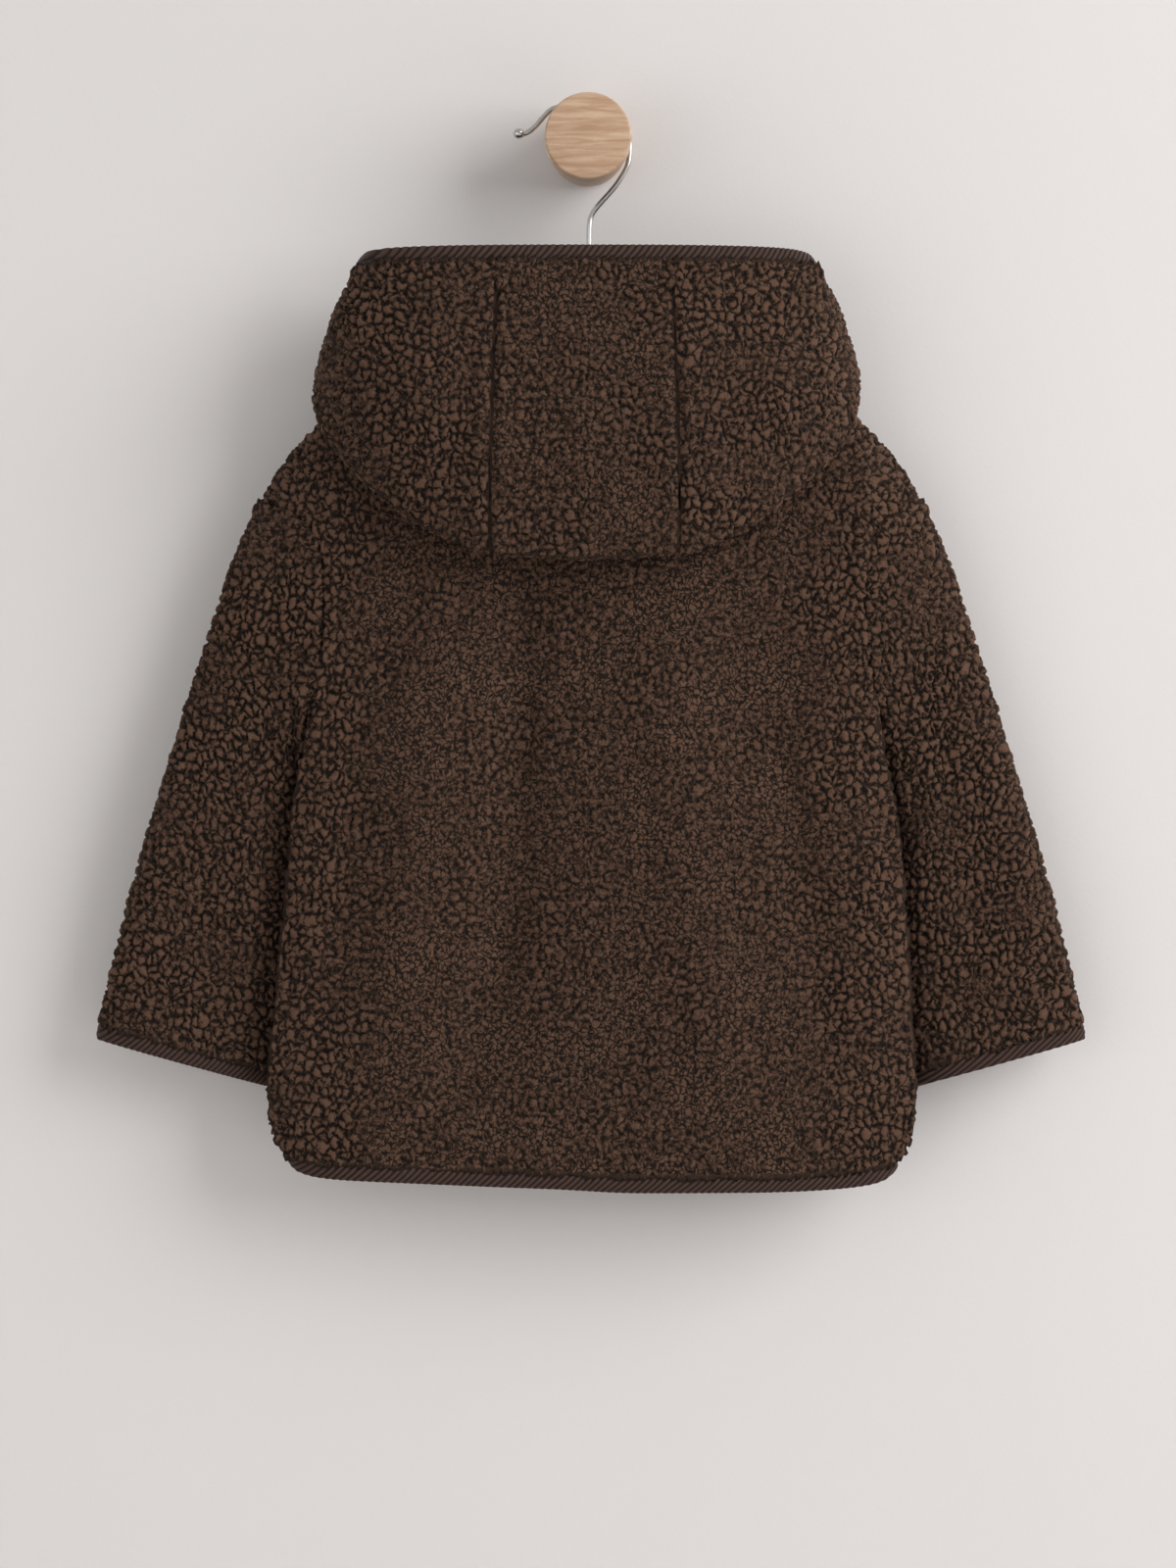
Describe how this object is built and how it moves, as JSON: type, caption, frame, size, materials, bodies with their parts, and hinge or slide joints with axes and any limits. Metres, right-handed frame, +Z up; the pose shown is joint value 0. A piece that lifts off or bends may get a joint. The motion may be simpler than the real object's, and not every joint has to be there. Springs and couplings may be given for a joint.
{
  "type": "hooded fleece jacket on a hanger and wall knob",
  "caption": "Toddler's dark brown hooded pile fleece jacket with bound edges and a zip front, hung by a wire-hook hanger on a round wooden wall knob.",
  "frame": {"origin": "centre of the wall knob's flat back face, where it meets the wall", "axes": "+X to the right as the jacket's back is seen, +Y into the wall, +Z up"},
  "size_m": [0.5308, 0.111, 0.585],
  "materials": {
    "fleece": "curly pile, matt",
    "binding": "ribbed, matt",
    "zip_tape": "woven, matt",
    "zip_teeth": "satin",
    "zip_metal": "satin",
    "wood": "plain, lightly oiled",
    "wire": "polished"
  },
  "bodies": {
    "jacket": {"back": "fleece", "front_left": "fleece", "front_right": "fleece", "sleeve_left": "fleece", "sleeve_right": "fleece", "hood_centre": "fleece", "hood_side_left": "fleece", "hood_side_right": "fleece", "hem_binding": "binding", "hood_binding": "binding", "cuff_binding_left": "binding", "cuff_binding_right": "binding", "zip_tape_left": "zip_tape", "zip_tape_right": "zip_tape", "zip_chain": "zip_teeth", "zip_box": "zip_teeth", "zip_slider": "zip_metal", "hanger_bar": "wood", "hanger_hook": "wire", "wall_knob": "wood"},
    "pull_tab": {"zip_pull": "zip_metal"}
  },
  "joints": [
    {"name": "pull_hinge", "type": "hinge", "parent": "jacket", "child": "pull_tab", "pos_m": [0.0015, -0.0134, -0.1397], "axis": [1, 0, 0], "range_deg": [0, 150]}
  ]
}
